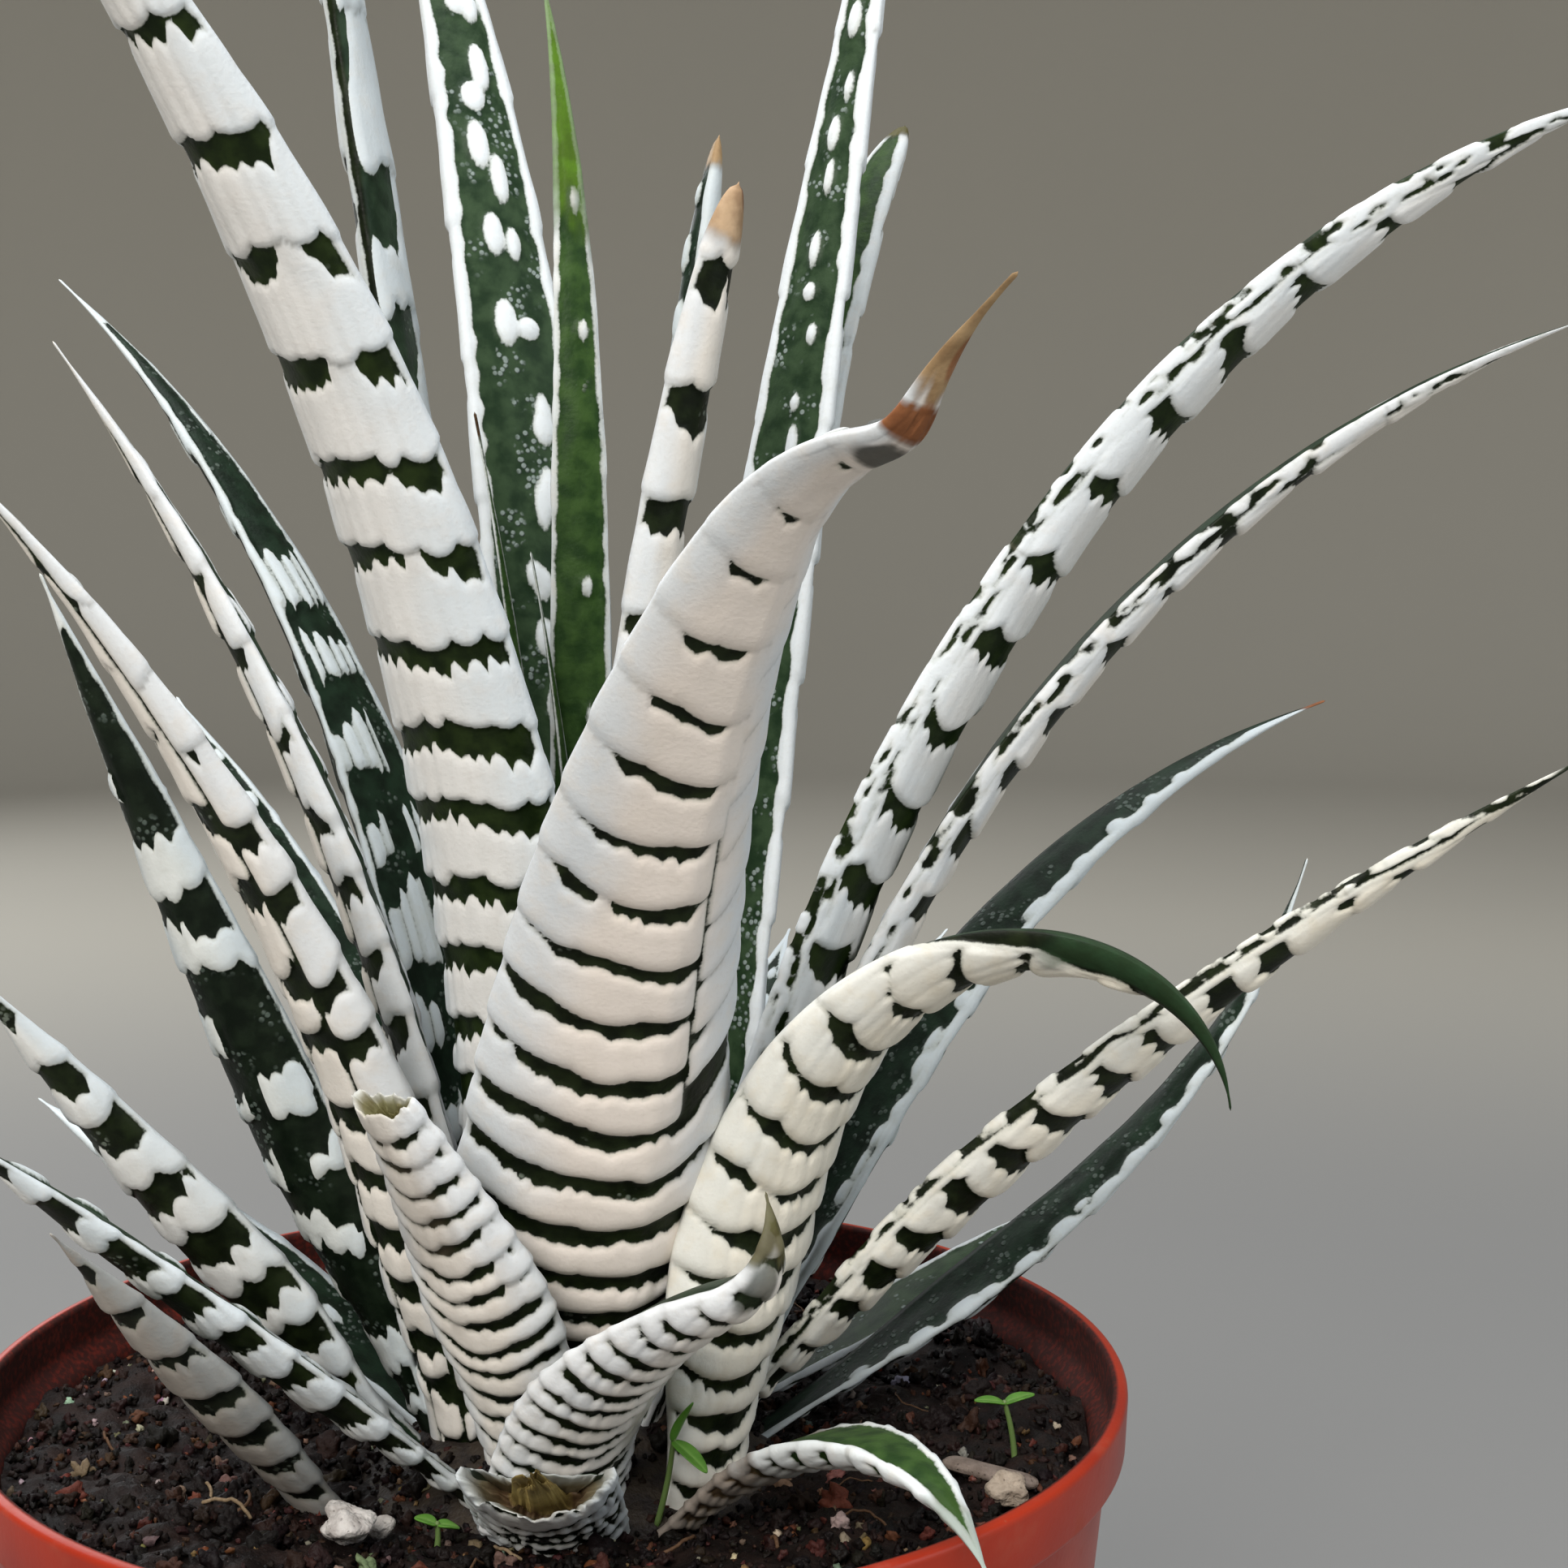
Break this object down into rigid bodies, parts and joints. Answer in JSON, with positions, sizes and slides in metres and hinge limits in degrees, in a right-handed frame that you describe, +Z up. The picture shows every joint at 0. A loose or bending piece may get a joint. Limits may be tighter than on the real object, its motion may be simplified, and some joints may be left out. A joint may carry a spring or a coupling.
{
  "type": "potted haworthia",
  "caption": "Zebra haworthia: a rosette of pointed dark green leaves with raised white bands, rooted in compost in a round flared plastic nursery pot.",
  "frame": {"origin": "centre of the pot's underside, on the plane that it rests on", "axes": "+Z up along the pot's axis, -Y towards the side that the picture shows, +X to the right in it"},
  "size_m": [0.1281, 0.1214, 0.2191],
  "materials": {
    "pot_plastic": "orange-red polypropylene, soft gloss, fine scuffs",
    "compost": "dark crumbly peat with reddish and tan crumbs",
    "stem_flesh": "pale green flesh, dull",
    "leaf": "dark green skin with warm white raised bands, satin",
    "perlite": "rough white mineral grain",
    "bark": "weathered grey-brown bark",
    "seedling": "bright green, thin and soft"
  },
  "bodies": {
    "root": {"bark_flake": "bark", "leaf_01_broad_front": "leaf", "leaf_02_snapped": "leaf", "leaf_03_drooping": "leaf", "leaf_04_claw": "leaf", "leaf_05_long_right": "leaf", "leaf_06_arched_right": "leaf", "leaf_07_dark_right": "leaf", "leaf_08_low_right": "leaf", "leaf_09_low_dark": "leaf", "leaf_10_short_right": "leaf", "leaf_11_tall_right": "leaf", "leaf_12_blunt_back": "leaf", "leaf_13_slim_front": "leaf", "leaf_14_slim_back": "leaf", "leaf_15_tall_left": "leaf", "leaf_16_narrow_green": "leaf", "leaf_17_thread_left": "leaf", "leaf_18_thread_right": "leaf", "leaf_19_slim_left": "leaf", "leaf_20_great_left": "leaf", "leaf_21_mottled_left": "leaf", "leaf_22_pale_left": "leaf", "leaf_23_patched_left": "leaf", "leaf_24_shaded_left": "leaf", "leaf_25_spread_left": "leaf", "leaf_26_pimpled_left": "leaf", "leaf_27_grey_left": "leaf", "leaf_28_over_the_rim": "leaf", "leaf_29_cut_stub": "leaf", "leaf_30_back_right": "leaf", "leaf_31_back": "leaf", "leaf_32_back_left": "leaf", "leaf_33_inner_back": "leaf", "leaf_34_low_back": "leaf", "leaf_35_low_back_left": "leaf", "leaf_36_low_left": "leaf", "perlite_large": "perlite", "perlite_small": "perlite", "pot": "pot_plastic", "pumice_by_rim": "perlite", "seedling_by_claw": "seedling", "seedling_by_stub": "seedling", "seedling_in_shade": "seedling", "soil": "compost", "stem": "stem_flesh"}
  },
  "joints": []
}
